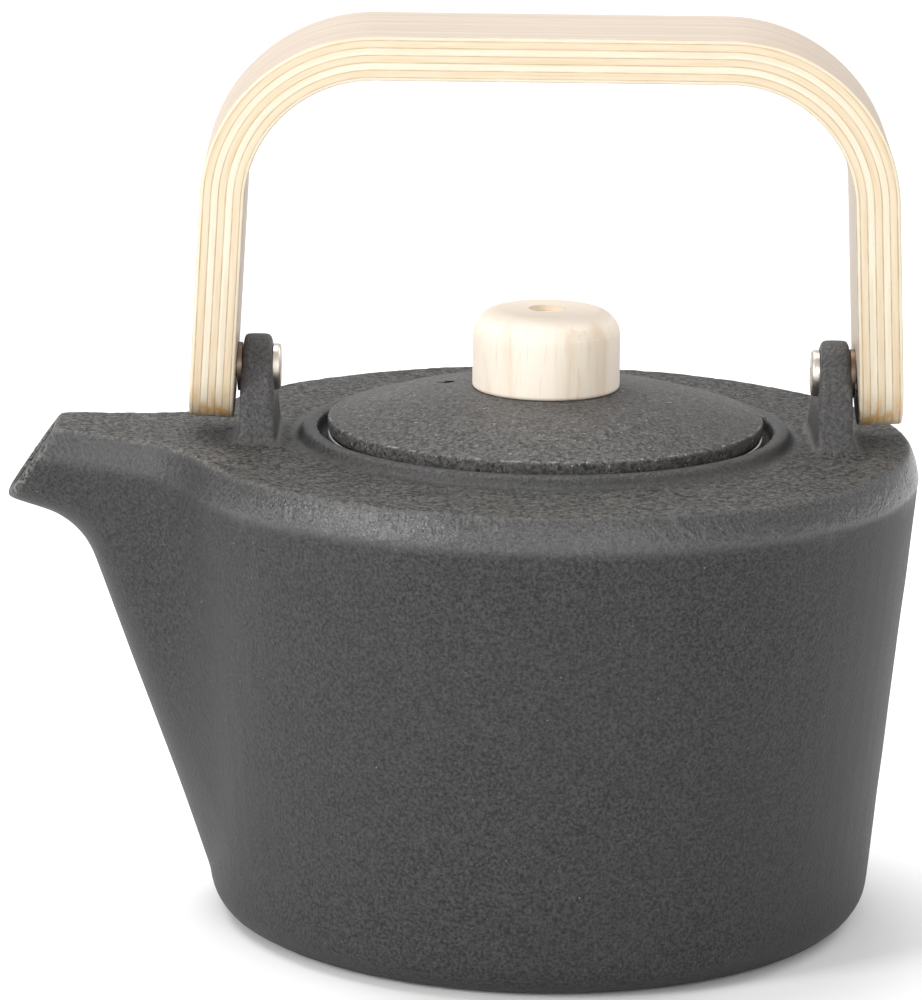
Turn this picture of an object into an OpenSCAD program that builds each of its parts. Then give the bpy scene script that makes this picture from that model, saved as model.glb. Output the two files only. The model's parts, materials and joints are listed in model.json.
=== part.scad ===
// Cast-iron teapot with a bent plywood handle, a domed iron lid with a turned
// wooden knob, and a steel strainer that hangs in the neck.
//
// Frame: millimetres, +Z up, origin at the centre of the flat base.
// The spout points along -X and the handle turns about an axis along X.

/* [Pot] */
// Radius of the flat base
base_radius = 60.4; // [58:0.2:66]
// Radius of the rounded bottom edge
bottom_round = 8.2; // [5:0.2:12]
// Outward lean of the side wall, in degrees
wall_flare = 5.44; // [3:0.02:8]
// Height of the flat shoulder
shoulder_height = 99.5; // [98:0.5:103]
// Height of the smooth band below the edge of the shoulder
band_drop = 6.2; // [4:0.1:8]
// Thickness of the iron wall
wall = 3.2; // [2.6:0.1:4]
// Thickness of the floor
floor_thickness = 4; // [3:0.1:6]

/* [Collar and seat] */
// Outer radius of the collar round the mouth
collar_radius = 50; // [49:0.1:52]
// Radius of the recess that takes the lid
recess_radius = 46.6; // [46.4:0.1:47]
// Height of the collar above the shoulder
collar_rise = 2.5; // [1.5:0.1:4]
// Radius of the neck below the seat
neck_radius = 42.2; // [42:0.1:43]
// Depth of the seat below the top of the collar
seat_depth = 3.2; // [3:0.1:3.6]

/* [Spout] */
// Reach of the spout's lip from the centre of the pot
lip_reach = 111; // [105:0.5:116]
// Height of the spout's lip
lip_height = 86; // [82:0.5:88]
// Length of the slanted mouth from lip to top edge
mouth_length = 19.2; // [16:0.2:22]
// Lean of the mouth from the vertical, in degrees
mouth_lean = 34; // [28:1:38]
// Rise of the spout's flat top towards the mouth, in degrees
top_rise = 4.2; // [2:0.1:6]
// Half the width of the flat top at the mouth
mouth_half_width = 8.6; // [7:0.1:11]
// Fall of the underside just behind the lip, in degrees
lip_fall = 17; // [10:1:25]
// Radius of the hollow curve under the spout
throat_radius = 15.5; // [12:0.5:20]
// Fall of the long lower edge, in degrees
keel_fall = 70.2; // [68:0.2:73]
// Radius of the hollow curve where the spout runs into the body
root_fillet = 10; // [6:0.5:12]
// Thickness of the spout's wall
spout_wall = 2.8; // [2.2:0.1:3.4]

/* [Lugs and pivots] */
// Distance of each lug's centre from the centre of the pot
lug_offset = 59; // [58.5:0.1:59.5]
// Height of the handle's pivot axis
pivot_height = 113.4; // [112:0.2:116]
// Radius of the round eye at the top of a lug
eye_radius = 6.85; // [6.4:0.05:7.2]
// Thickness of a lug at its top
lug_top_thickness = 5.8; // [5:0.1:6]
// Lean of a lug's faces, in degrees
lug_draft = 3.4; // [3:0.1:4]
// Thickness of a lug between its machined spot faces
eye_thickness = 6.2; // [5.8:0.1:6.4]
// Diameter of the screw's shoulder in the lug
pivot_diameter = 5; // [4.6:0.1:5.4]
// Radial clearance of the shoulder in the lug
pivot_clearance = 0.05; // [0.03:0.01:0.1]

/* [Handle] */
// Distance of a leg's end below the pivot
leg_end = 10.6; // [10:0.1:11.5]
// Width of the plywood strip, front to back
handle_width = 23; // [20:0.5:26]
// Thickness of each of the five core plies
core_ply = 1.5; // [1.5:0.05:1.6]
// Thickness of each face veneer
face_ply = 0.75; // [0.7:0.05:0.9]
// Distance of a leg's inner face from the centre, at the pivot
leg_inner = 63.4; // [63.2:0.1:65]
// Inward lean of each leg, in degrees
leg_splay = 3.2; // [2:0.1:4]
// Height of the bar's underside above the pivot
bar_height = 62.9; // [60:0.5:70]
// Inner radius of the bent corners
corner_radius = 26; // [20:0.5:30]
// Forward lean of the handle as it stands, in degrees
handle_lean = 5.6; // [0:0.2:10]

/* [Lid] */
// Radius of the lid
lid_radius = 44.8; // [44:0.1:45.2]
// Height of the lid's rim from its lower to its upper edge
rim_height = 3.4; // [3:0.1:4]
// Rise of the dome from the rim to the knob
dome_rise = 5.9; // [5:0.1:8]
// Thickness of the lid
lid_wall = 3; // [2.4:0.1:3.4]
// Width of the lid's flat rim underneath
rim_width = 5; // [3:0.5:7]
// Diameter of the steam vent
vent_diameter = 2.9; // [2:0.1:3.2]

/* [Knob] */
// Radius of the wooden knob
knob_radius = 15.1; // [13:0.1:17]
// Height of the knob
knob_height = 16.4; // [14:0.1:18]
// Radius of the knob's rounded top edge
knob_round = 5.4; // [3:0.1:6]
// Diameter of the recess in the knob's top
plug_diameter = 7.6; // [7.4:0.1:9]
// Depth of the plug below the knob's top
plug_sink = 1.2; // [0.5:0.1:2]

/* [Strainer] */
// Outer radius of the perforated wall
basket_radius = 40.9; // [40.6:0.1:41]
// Thickness of the steel sheet
sheet = 0.5; // [0.4:0.05:0.6]
// Depth of the basket below the seat
basket_depth = 29; // [24:1:32]
// Diameter of the perforations
hole_diameter = 2.6; // [2:0.1:3]

/* [Hidden] */

$fn = 96;
over = 5;              // how far a cutting shape runs past what it cuts
fit = 0.02;            // gap between pieces that are fixed together
rest_gap = 0.1;        // gap below pieces that rest on a seat

iron = [0.29, 0.285, 0.28];
pale_wood = [0.95, 0.88, 0.77];
birch_light = [0.93, 0.83, 0.66];
birch_dark = [0.80, 0.64, 0.43];
steel = [0.75, 0.75, 0.76];
brass = [0.78, 0.62, 0.34];

// Points along an arc, from angle a0 to angle a1
function arc(centre, radius, a0, a1, steps = 12) =
    [for (i = [0:steps])
        let (a = a0 + (a1 - a0) * i / steps)
        centre + radius * [cos(a), sin(a)]];

// ---- Smooth band below the shoulder's edge, shared by the body and the spout ----
band_start = 60;       // slope of the band at its upper edge
band_end = 84;         // slope of the band where it meets the wall
band_steps = 5;
band_curve = band_drop / (cos(band_start) - cos(band_end));
band_out = band_curve * (sin(band_end) - sin(band_start));

// Distance out and distance down along the band, from its upper edge
function band_point(i) =
    let (slope = band_start + (band_end - band_start) * i / band_steps)
    band_curve * [sin(slope) - sin(band_start), cos(band_start) - cos(slope)];

// ---- Body of the pot ----
collar_top = shoulder_height + collar_rise;
seat_z = collar_top - seat_depth;
roof_z = shoulder_height - wall;
wall_foot = [base_radius + bottom_round * cos(wall_flare), bottom_round * (1 - sin(wall_flare))];
collar_flare = 2.2;    // radius of the hollow at the foot of the collar
collar_edge = 0.7;     // rounding of the collar's two upper edges
cavity_round = 6;      // rounding inside the bottom edge

// Outer radius of the side wall at a height
function wall_radius(z) = wall_foot[0] + (z - wall_foot[1]) * tan(wall_flare);

shoulder_radius = wall_radius(shoulder_height - band_drop) - band_out;

module body_outside() {
    rotate_extrude()
        polygon(concat(
            [[0, 0]],
            arc([base_radius, bottom_round], bottom_round, -90, -wall_flare),
            [for (i = [band_steps:-1:0])
                [shoulder_radius + band_point(i)[0], shoulder_height - band_point(i)[1]]],
            arc([collar_radius + collar_flare, shoulder_height + collar_flare],
                collar_flare, -90, -170, 8),
            arc([collar_radius - collar_edge, collar_top - collar_edge], collar_edge, 0, 90, 4),
            arc([recess_radius + collar_edge, collar_top - collar_edge], collar_edge, 90, 180, 4),
            [[recess_radius, seat_z], [0, seat_z]]
        ));
}

// Hollow of the pot, with the neck above it
module body_inside() {
    floor_radius = base_radius + cavity_round - wall;
    rotate_extrude()
        polygon(concat(
            [[0, floor_thickness]],
            arc([floor_radius - cavity_round, floor_thickness + cavity_round],
                cavity_round, -90, -wall_flare),
            [[wall_radius(roof_z) - wall, roof_z], [neck_radius, roof_z]],
            [[neck_radius, seat_z + over], [0, seat_z + over]]
        ));
}

// ---- Spout: a loft of slanted sections, fanned from the mouth to the pot ----
lip_tip = [-lip_reach, lip_height];
mouth_top = lip_tip + mouth_length * [sin(mouth_lean), cos(mouth_lean)];
lip_run = 8.8;         // straight length of the underside behind the lip
keel_run = 75;         // straight length of the long lower edge
throat_run = throat_radius * (keel_fall - lip_fall) * PI / 180;
under_length = lip_run + throat_run + keel_run;
top_length = 45;       // how far the sections' top edges travel
lip_round = 1.2;       // rounding round the edge of the mouth
flat_spread = 0.26;    // widening of the flat top, per mm, at the mouth
flat_curve = 0.0032;   // growth of that widening, per mm squared
side_steps = 16;
root_fade = 8;         // points of a half-section over which the fillet fades to the keel
mouth_stations = 12;
root_stations = 22;
channel_stations = 12;
channel_end = 0.86;    // where the hollow has reached the inside of the pot

throat_start = lip_tip + lip_run * [cos(lip_fall), -sin(lip_fall)];
throat_centre = throat_start - throat_radius * [sin(lip_fall), cos(lip_fall)];

// Fall of the underside, in degrees, at a length along it
function under_fall(s) =
    min(keel_fall, max(lip_fall, lip_fall + (s - lip_run) / throat_radius * 180 / PI));

// Point of the underside at a length along it
function under_point(s) =
    s < lip_run ? lip_tip + s * [cos(lip_fall), -sin(lip_fall)]
    : let (fall = under_fall(s),
           past = max(0, s - lip_run - throat_run))
      throat_centre + throat_radius * [sin(fall), cos(fall)] + past * [cos(fall), -sin(fall)];

// Point of the flat top at a distance back from the mouth
function top_point(u) = mouth_top + u * [1, -tan(top_rise)];

// Half-section of the spout: half width and depth below the top edge, from
// the edge of the flat top round to the lowest point
function half_section(flat, depth) =
    let (full = flat + band_out)
    concat(
        [for (i = [0:band_steps]) [flat + band_point(i)[0], band_point(i)[1]]],
        [for (j = [1:side_steps])
            let (a = 90 * j / side_steps)
            [full * cos(a), band_drop + (depth - band_drop) * pow(sin(a), 2 / 3)]]
    );

// Outer radius of the body at a height, the band and the shoulder's edge included
function body_radius(z) =
    z > shoulder_height - band_drop
    ? shoulder_radius + band_out * sqrt(max(0, shoulder_height - z) / band_drop)
    : wall_radius(z);

// Widening of the spout's side at a place beside the body: an arc that meets
// both the side, at half width y, and the body's wall
function widening(x, y, z) =
    let (body = body_radius(z),
         centre_y = y + root_fillet,
         centre_x = -sqrt(pow(body + root_fillet, 2) - pow(centre_y, 2)),
         end_x = centre_x * body / (body + root_fillet),
         run = min(max(x, centre_x), end_x) - centre_x)
    root_fillet - sqrt(pow(root_fillet, 2) - pow(run, 2));

// Point of a section with its side widened by a share of the fillet
function section_point(at, y, share) =
    [at[0], y + sign(y) * share * widening(at[0], abs(y), at[1]), at[1]];

// Whole section at a station from 0 at the mouth to 1 at the root, as points
// in space. A section drawn in by an inset leaves the fillet out, so that the
// wall between the hollow and the fillet stays thick.
function spout_section(t, inset) =
    let (u = t * top_length,
         s = t * under_length,
         top = top_point(u),
         low = under_point(s),
         along = (low - top) / norm(low - top),
         fall = under_fall(s),
         cut = abs(along[0] * -sin(fall) - along[1] * cos(fall)),
         depth = norm(low - top) - inset * (1 + 1 / cut),
         flat = mouth_half_width + u * (flat_spread + flat_curve * u) - inset,
         half = half_section(flat, depth),
         start = top + along * inset,
         last = len(half) - 1,
         share = [for (i = [0:last]) inset > 0 ? 0 : min(1, (last - i) / root_fade)])
    concat(
        [for (i = [0:last]) section_point(start + along * half[i][1], half[i][0], share[i])],
        [for (i = [last - 1:-1:0]) section_point(start + along * half[i][1], -half[i][0], share[i])]
    );

// Solid through a list of rings with equal numbers of points
module loft(rings) {
    size = len(rings[0]);
    count = len(rings);
    polyhedron(
        points = [for (ring = rings) each ring],
        faces = concat(
            [[for (i = [size - 1:-1:0]) i]],
            [for (k = [0:count - 2], i = [0:size - 1])
                let (j = (i + 1) % size, a = k * size, b = a + size)
                each [[a + i, b + j, b + i], [a + i, a + j, b + j]]],
            [[for (i = [0:size - 1]) (count - 1) * size + i]]
        )
    );
}

throat_share = (lip_run + throat_run) / under_length;
edge_angles = [0, 30, 60];

module spout_outside() {
    loft(concat(
        [for (a = edge_angles)
            spout_section(lip_round * (1 - cos(a)) / under_length, lip_round * (1 - sin(a)))],
        [for (k = [1:mouth_stations]) spout_section(throat_share * k / mouth_stations, 0)],
        [for (k = [1:root_stations])
            spout_section(throat_share + (1 - throat_share) * k / root_stations, 0)]
    ));
}

function moved(ring, by) = [for (p = ring) p + by];

module spout_inside() {
    mouth = spout_section(0, spout_wall - 0.4);
    root = spout_section(channel_end, spout_wall);
    loft(concat(
        [moved(mouth, over * [-cos(mouth_lean), 0, sin(mouth_lean)])],
        [for (k = [0:mouth_stations]) spout_section(throat_share * k / mouth_stations, spout_wall)],
        [for (k = [1:channel_stations])
            let (t = throat_share + (channel_end - throat_share) * k / channel_stations)
            spout_section(t, spout_wall)],
        [moved(root, [2 * over, 0, 0])]
    ));
}

// ---- Handle lugs ----
lug_top = pivot_height + eye_radius;
lug_root = shoulder_height - wall / 2;
lug_flare = 1.2;       // rounding where a lug grows out of the shoulder
lug_foot_half = 14.4;  // half the depth of a lug's foot, front to back
lug_edge = 0.9;        // rounding of a lug's top seen from the front
spot_radius = 5.6;
flank_sink = 0.06;     // how far inside the eye's circle the flanks of the lug begin
flank_relief = 3.4;    // distance from a lug's centre to the flat that the leg swings past
relief_drop = 0.7;     // how far that flat reaches below the leg's swing

// Outline of a lug seen from the side of the pot: an eye on a spreading foot
module lug_side_outline() {
    lean = atan((lug_foot_half - eye_radius) / (pivot_height - shoulder_height));
    start = eye_radius - flank_sink;
    foot = lug_foot_half + lug_flare;
    floor_y = shoulder_height - pivot_height;
    circle(r = eye_radius);
    polygon(concat(
        [start * [cos(lean), sin(lean)]],
        [[-start * cos(lean), start * sin(lean)]],
        arc([-foot, floor_y + lug_flare], lug_flare, -20, -90, 5),
        [[-foot, lug_root - pivot_height]],
        [[foot, lug_root - pivot_height]],
        arc([foot, floor_y + lug_flare], lug_flare, 270, 200, 5)
    ));
}

// Outline of a lug seen from the front: a tapered post
module lug_front_outline() {
    half_top = lug_top_thickness / 2;
    half_foot = half_top + (lug_top - shoulder_height) * tan(lug_draft);
    height = lug_top - shoulder_height;
    polygon(concat(
        arc([half_top - lug_edge, height - lug_edge], lug_edge, lug_draft, 90, 4),
        arc([-half_top + lug_edge, height - lug_edge], lug_edge, 90, 180 - lug_draft, 4),
        arc([-half_foot - lug_flare, lug_flare], lug_flare, -lug_draft, -90, 6),
        [[-half_foot - lug_flare, lug_root - shoulder_height]],
        [[half_foot + lug_flare, lug_root - shoulder_height]],
        arc([half_foot + lug_flare, lug_flare], lug_flare, 270, 180 + lug_draft, 6)
    ));
}

module lug() {
    reach = 20;        // half the length of each outline's extrusion
    intersection() {
        translate([lug_offset - reach, 0, pivot_height])
            rotate([90, 0, 90])
                linear_extrude(2 * reach)
                    lug_side_outline();
        translate([lug_offset, reach, shoulder_height])
            rotate([90, 0, 0])
                linear_extrude(2 * reach)
                    lug_front_outline();
    }
}

// Cylinder along X from one distance to another, on the pivot axis
module on_pivot(from, to, radius) {
    translate([from, 0, pivot_height])
        rotate([0, 90, 0])
            cylinder(r = radius, h = to - from);
}

// Bore, spot faces and the flat for the leg, cut in the right-hand lug
module lug_cuts() {
    half = eye_thickness / 2;
    bore = pivot_diameter / 2 + pivot_clearance;
    on_pivot(lug_offset - 2 * eye_thickness, lug_offset + 2 * eye_thickness, bore);
    on_pivot(lug_offset + half, lug_offset + half + over, spot_radius);
    on_pivot(lug_offset - half - over, lug_offset - half, spot_radius);
    translate([lug_offset + flank_relief, -over * 4, pivot_height - handle_width / 2 - relief_drop])
        cube([over, over * 8, handle_width]);
}

module both_sides() {
    children();
    mirror([1, 0, 0]) children();
}

module pot_body() {
    color(iron)
        difference() {
            union() {
                body_outside();
                spout_outside();
                both_sides() lug();
            }
            body_inside();
            spout_inside();
            translate([0, 0, seat_z])
                cylinder(r = recess_radius, h = over * 4);
            both_sides() lug_cuts();
        }
}

// ---- Plywood handle, drawn upright about its pivot and then leaned ----
handle_thickness = 5 * core_ply + 2 * face_ply;
corner_z = bar_height - corner_radius;
corner_x = leg_inner - (corner_radius + corner_z * sin(leg_splay)) / cos(leg_splay);
corner_steps = 30;
end_steps = 36;
insert_radius = 3.5;
insert_length = 6.4;
screw_radius = 2;

module leaned() {
    translate([0, 0, pivot_height])
        rotate([handle_lean, 0, 0])
            translate([0, 0, -pivot_height])
                children();
}

// Outline of the bent strip at a depth counted from its inner face, as a
// path from the foot of the right leg over the bar to the left one
function strip_path(depth) =
    let (up = [-sin(leg_splay), cos(leg_splay)],
         out = [cos(leg_splay), sin(leg_splay)],
         foot = [leg_inner, 0] + depth * out - handle_width * up,
         bend = arc([corner_x, corner_z], corner_radius + depth, leg_splay, 90, corner_steps),
         right = concat([foot], bend))
    concat(right, [for (i = [len(right) - 1:-1:0]) [-right[i][0], right[i][1]]]);

function backwards(points) = [for (i = [len(points) - 1:-1:0]) points[i]];

// Space within the strip's edges, with the legs' ends round about the pivot
module strip_sides() {
    half = handle_width / 2;
    reach = leg_inner + 2 * handle_thickness;
    translate([-reach, 0, pivot_height])
        rotate([90, 0, 90])
            linear_extrude(2 * reach)
                polygon(concat(
                    arc([0, half - leg_end], half, 180, 360, end_steps),
                    [[half, 2 * bar_height], [-half, 2 * bar_height]]
                ));
}

module handle_layer(from, to, tint) {
    color(tint)
        leaned()
            difference() {
                intersection() {
                    translate([0, handle_width, pivot_height])
                        rotate([90, 0, 0])
                            linear_extrude(2 * handle_width)
                                polygon(concat(strip_path(to), backwards(strip_path(from))));
                    strip_sides();
                }
                if (from < insert_length)
                    both_sides()
                        on_pivot(leg_inner - over, leg_inner + insert_length + fit, insert_radius + fit);
            }
}

module core_layer(number) {
    start = face_ply + (number - 1) * core_ply;
    handle_layer(start, start + core_ply, number % 2 == 1 ? birch_dark : birch_light);
}

module core_ply_1() { core_layer(1); }
module core_ply_2() { core_layer(2); }
module core_ply_3() { core_layer(3); }
module core_ply_4() { core_layer(4); }
module core_ply_5() { core_layer(5); }
module face_veneer_inner() { handle_layer(0, face_ply, birch_light); }
module face_veneer_outer() { handle_layer(handle_thickness - face_ply, handle_thickness, birch_light); }

// ---- Pivot hardware on the right-hand side ----
spacer_radius = 5;
head_radius = 4.75;
head_height = 1.5;
head_round = 0.6;
socket_width = 2.5;
socket_depth = 0.9;
play = 0.1;
spacer_start = lug_offset + eye_thickness / 2 + play;
spacer_end = leg_inner - spacer_radius * tan(leg_splay) - fit;
head_end = lug_offset - eye_thickness / 2 - play;
head_start = head_end - head_height;
insert_start = leg_inner + fit + insert_radius * tan(leg_splay);

module insert() {
    difference() {
        on_pivot(insert_start, leg_inner + insert_length, insert_radius);
        on_pivot(leg_inner - over, leg_inner + 2 * insert_length, screw_radius + fit);
    }
}

module pivot_screw() {
    difference() {
        translate([head_start, 0, pivot_height])
            rotate([0, 90, 0])
                rotate_extrude()
                    polygon(concat(
                        [[0, 0]],
                        arc([head_radius - head_round, head_round], head_round, -90, 0, 4),
                        [[head_radius, head_height], [pivot_diameter / 2, head_height]],
                        [[pivot_diameter / 2, spacer_end - head_start]],
                        [[screw_radius, spacer_end - head_start]],
                        [[screw_radius, leg_inner + insert_length - head_start],
                         [0, leg_inner + insert_length - head_start]]
                    ));
        translate([head_start - over, 0, pivot_height])
            rotate([0, 90, 0])
                cylinder(d = socket_width / cos(30), h = over + socket_depth, $fn = 6);
    }
}

module pivot_spacer() {
    difference() {
        on_pivot(spacer_start, spacer_end, spacer_radius);
        on_pivot(spacer_start - over, spacer_end + over, pivot_diameter / 2 + fit);
    }
}

module left() {
    mirror([1, 0, 0]) children();
}

module handle_insert_left() { color(brass) leaned() left() insert(); }
module handle_insert_right() { color(brass) leaned() insert(); }
module pivot_screw_left() { color(steel) leaned() left() pivot_screw(); }
module pivot_screw_right() { color(steel) leaned() pivot_screw(); }
module pivot_spacer_left() { color(steel) leaned() left() pivot_spacer(); }
module pivot_spacer_right() { color(steel) leaned() pivot_spacer(); }

// ---- Strainer ----
bead_radius = 0.75;
flange_radius = 44.1;  // radius of the rolled bead's centre line
flange_z = seat_z + rest_gap;
sleeve_depth = 5;
basket_floor_z = seat_z - basket_depth;
hole_rows = 5;
holes_round = 32;      // holes in each row
band_height = 3;
floor_rings = 5;

module strainer_rim() {
    color(steel)
        rotate_extrude() {
            inner = basket_radius + fit;
            translate([inner, flange_z])
                square([flange_radius - inner, sheet]);
            translate([inner, flange_z - sleeve_depth])
                square([sheet, sleeve_depth + sheet]);
            translate([flange_radius, flange_z + bead_radius])
                circle(r = bead_radius);
        }
}

module strainer_wall() {
    low = basket_floor_z + sheet + fit;
    high = flange_z - sheet;
    pitch = (high - low - sleeve_depth - band_height) / hole_rows;
    color(steel)
        difference() {
            translate([0, 0, low])
                cylinder(r = basket_radius, h = high - low);
            translate([0, 0, low - over])
                cylinder(r = basket_radius - sheet, h = high - low + 2 * over);
            for (row = [0:hole_rows - 1], k = [0:holes_round - 1])
                rotate([0, 0, (k + row % 2 / 2) * 360 / holes_round])
                    translate([basket_radius - 2 * sheet, 0, low + band_height + pitch * (row + 0.5)])
                        rotate([0, 90, 0])
                            cylinder(d = hole_diameter, h = 4 * sheet, $fn = 24);
        }
}

module strainer_floor() {
    ring_pitch = (basket_radius - 2 * hole_diameter) / floor_rings;
    color(steel)
        difference() {
            translate([0, 0, basket_floor_z])
                cylinder(r = basket_radius, h = sheet);
            translate([0, 0, basket_floor_z - over])
                cylinder(d = hole_diameter, h = 2 * over, $fn = 24);
            for (ring = [1:floor_rings], k = [0:6 * ring - 1])
                rotate([0, 0, k * 60 / ring])
                    translate([ring * ring_pitch, 0, basket_floor_z - over])
                        cylinder(d = hole_diameter, h = 2 * over, $fn = 24);
        }
}

module strainer_band() {
    inner = basket_radius + fit;
    color(steel)
        rotate_extrude()
            polygon([
                [inner - 2 * sheet, basket_floor_z - sheet - fit],
                [inner + sheet, basket_floor_z - sheet - fit],
                [inner + sheet, basket_floor_z + band_height],
                [inner, basket_floor_z + band_height],
                [inner, basket_floor_z - fit],
                [inner - 2 * sheet, basket_floor_z - fit]
            ]);
}

// ---- Lid ----
rim_z = flange_z + 2 * bead_radius + rest_gap;
rim_top = rim_z + rim_height;
rim_edge = 0.6;
crown_z = rim_top + dome_rise;
dome_start = lid_radius - 1;
crown_radius = knob_radius + 1;
vent_place = [-20.2, 8];
bolt_clearance = 0.2;
dome_steps = 12;
dome_bulge = 0.9;      // how far the dome stands above a straight cone

// Height of the dome's outside at a share of the way from rim to crown
function dome_z(share) = rim_top + dome_rise * share + dome_bulge * sin(180 * share);

module lid() {
    boss_z = crown_z - lid_wall;
    color(iron)
        difference() {
            rotate_extrude()
                polygon(concat(
                    [[0, boss_z], [crown_radius, boss_z]],
                    [[lid_radius - rim_width, rim_z], [lid_radius - rim_edge / 2, rim_z]],
                    arc([lid_radius - rim_edge, rim_top - rim_edge], rim_edge, 0, 80, 4),
                    [for (i = [0:dome_steps])
                        let (share = i / dome_steps)
                        [dome_start + (crown_radius - dome_start) * share, dome_z(share)]],
                    [[0, crown_z]]
                ));
            translate([0, 0, boss_z - over])
                cylinder(r = screw_radius + bolt_clearance, h = lid_wall + 2 * over);
            translate([vent_place[0], vent_place[1], rim_z])
                cylinder(d = vent_diameter, h = 2 * dome_rise);
        }
}

// ---- Knob and its fastening ----
knob_z = crown_z + fit;
knob_top = knob_z + knob_height;
knob_foot_round = 0.8;
counterbore_depth = 9;
screw_head_height = 2.6;
screw_head_radius = 3.5;
plug_bottom = knob_top - counterbore_depth + screw_head_height + fit;
washer_radius = 4.5;
washer_height = 0.8;
nut_width = 7;
nut_height = 3.2;
thread_end = 0.6;
washer_top = crown_z - lid_wall - fit;
nut_top = washer_top - washer_height - fit;

module lid_knob() {
    color(pale_wood)
        difference() {
            translate([0, 0, knob_z])
                rotate_extrude()
                    polygon(concat(
                        [[0, 0]],
                        arc([knob_radius - knob_foot_round, knob_foot_round],
                            knob_foot_round, -90, 0, 4),
                        arc([knob_radius - knob_round, knob_height - knob_round], knob_round, 0, 90, 10),
                        [[0, knob_height]]
                    ));
            translate([0, 0, knob_top - counterbore_depth])
                cylinder(d = plug_diameter, h = counterbore_depth + over);
            translate([0, 0, knob_z - over])
                cylinder(r = screw_radius + bolt_clearance, h = knob_height);
        }
}

module knob_plug() {
    color(birch_light)
        translate([0, 0, plug_bottom])
            cylinder(r = plug_diameter / 2 - fit, h = knob_top - plug_sink - plug_bottom);
}

module knob_screw() {
    head_z = knob_top - counterbore_depth + fit / 2;
    tip_z = nut_top - nut_height - thread_end;
    color(steel) {
        translate([0, 0, head_z])
            cylinder(r = screw_head_radius, h = screw_head_height);
        translate([0, 0, tip_z])
            cylinder(r = screw_radius, h = head_z + screw_head_height / 2 - tip_z);
    }
}

module knob_washer() {
    color(steel)
        difference() {
            translate([0, 0, washer_top - washer_height])
                cylinder(r = washer_radius, h = washer_height);
            translate([0, 0, washer_top - washer_height - over])
                cylinder(r = screw_radius + bolt_clearance, h = washer_height + 2 * over);
        }
}

module knob_nut() {
    color(steel)
        difference() {
            translate([0, 0, nut_top - nut_height])
                cylinder(d = nut_width / cos(30), h = nut_height, $fn = 6);
            translate([0, 0, nut_top - nut_height - over])
                cylinder(r = screw_radius + fit, h = nut_height + 2 * over);
        }
}

pot_body();
face_veneer_inner();
core_ply_1();
core_ply_2();
core_ply_3();
core_ply_4();
core_ply_5();
face_veneer_outer();
handle_insert_left();
handle_insert_right();
pivot_screw_left();
pivot_screw_right();
pivot_spacer_left();
pivot_spacer_right();
lid();
lid_knob();
knob_plug();
knob_screw();
knob_washer();
knob_nut();
strainer_rim();
strainer_wall();
strainer_floor();
strainer_band();
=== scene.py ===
import json
import math

import bmesh
import bpy
import numpy as np
from mathutils import Matrix, Vector


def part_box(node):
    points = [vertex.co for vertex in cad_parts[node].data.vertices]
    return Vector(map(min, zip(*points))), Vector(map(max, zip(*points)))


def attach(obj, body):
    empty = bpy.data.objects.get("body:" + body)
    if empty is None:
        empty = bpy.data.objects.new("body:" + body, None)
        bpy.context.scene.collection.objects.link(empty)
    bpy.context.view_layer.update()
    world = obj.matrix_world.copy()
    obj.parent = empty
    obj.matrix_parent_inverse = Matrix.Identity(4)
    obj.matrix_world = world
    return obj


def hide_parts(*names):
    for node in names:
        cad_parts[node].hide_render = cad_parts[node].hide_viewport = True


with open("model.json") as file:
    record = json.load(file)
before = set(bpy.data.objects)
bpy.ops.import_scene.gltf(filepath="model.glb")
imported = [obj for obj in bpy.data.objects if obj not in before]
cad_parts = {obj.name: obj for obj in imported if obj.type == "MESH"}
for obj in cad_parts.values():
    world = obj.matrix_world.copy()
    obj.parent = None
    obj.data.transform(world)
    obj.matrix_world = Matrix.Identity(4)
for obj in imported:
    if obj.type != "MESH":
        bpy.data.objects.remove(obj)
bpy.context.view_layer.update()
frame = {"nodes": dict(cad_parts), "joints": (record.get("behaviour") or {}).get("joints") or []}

MM = 0.001
nodes = frame["nodes"]

# ---- Places read from the frame ----
hinge = Vector(frame["joints"][0]["pos_m"])
lid_low, lid_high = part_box("lid")
knob_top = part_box("lid_knob")[1].z
plug_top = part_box("knob_plug")[1].z


# ---- Camera ----
CAMERA_PLACE = Vector((-0.0177, -0.9664, 0.3053))
CAMERA_AIM = Vector((-0.0171, 0.0, 0.0858))
CAMERA_ROLL = math.radians(0.73)
CAMERA_LENS = 172.95
SENSOR_WIDTH = 36.0
NEAREST, FARTHEST = 0.05, 50.0


def make_camera():
    data = bpy.data.cameras.new("camera")
    data.sensor_width = SENSOR_WIDTH
    data.lens = CAMERA_LENS
    data.clip_start, data.clip_end = NEAREST, FARTHEST
    camera = bpy.data.objects.new("camera", data)
    bpy.context.scene.collection.objects.link(camera)
    turn = (CAMERA_AIM - CAMERA_PLACE).to_track_quat("-Z", "Y").to_matrix().to_4x4()
    camera.matrix_world = Matrix.Translation(CAMERA_PLACE) @ turn @ Matrix.Rotation(CAMERA_ROLL, 4, "Z")
    bpy.context.scene.camera = camera


make_camera()


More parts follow.
